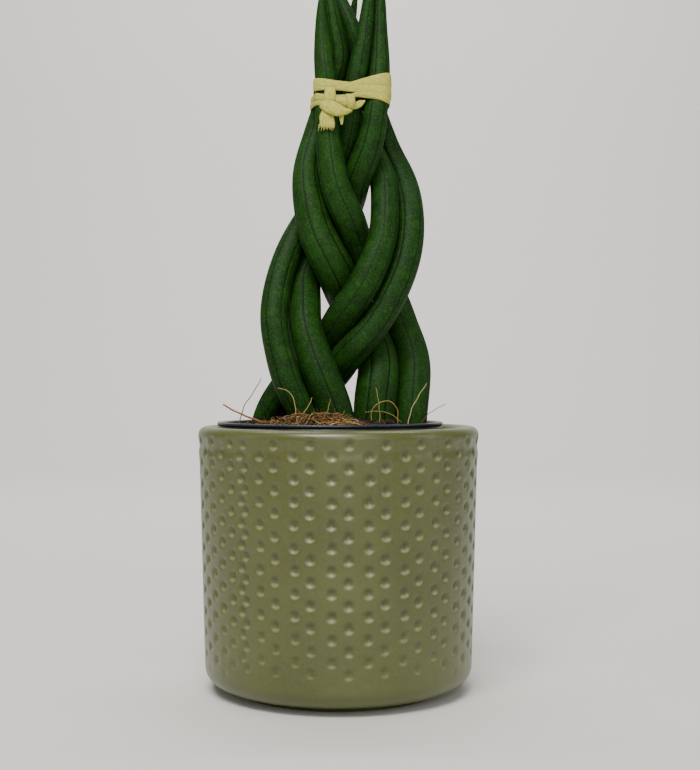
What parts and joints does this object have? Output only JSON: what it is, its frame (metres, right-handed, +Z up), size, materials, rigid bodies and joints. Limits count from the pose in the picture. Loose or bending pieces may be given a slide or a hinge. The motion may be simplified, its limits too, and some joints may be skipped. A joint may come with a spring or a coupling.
{
  "type": "potted cylindrical snake plant with braided leaves",
  "caption": "Braided cylindrical snake plant in a black nursery pot, standing in a dimpled round glazed cachepot, its leaves tied with a flat strip near the top.",
  "frame": {"origin": "centre of the cachepot's foot ring, on the surface it stands on", "axes": "+Z up along the pot's axis, -Y towards the viewer's side, +X to the viewer's right"},
  "size_m": [0.1492, 0.1492, 0.4031],
  "materials": {
    "glaze": "satin",
    "black_plastic": "satin",
    "coir_mix": "matte",
    "leaf_green": "satin",
    "tie_strip": "matte"
  },
  "bodies": {
    "root": {"cachepot": "glaze", "nursery_pot": "black_plastic", "substrate": "coir_mix", "leaf_left_outer": "leaf_green", "leaf_left_inner": "leaf_green", "leaf_back_outer": "leaf_green", "leaf_back_inner": "leaf_green", "leaf_right_inner": "leaf_green", "leaf_right_outer": "leaf_green", "tie_band": "tie_strip", "tie_knot": "tie_strip"}
  },
  "joints": []
}
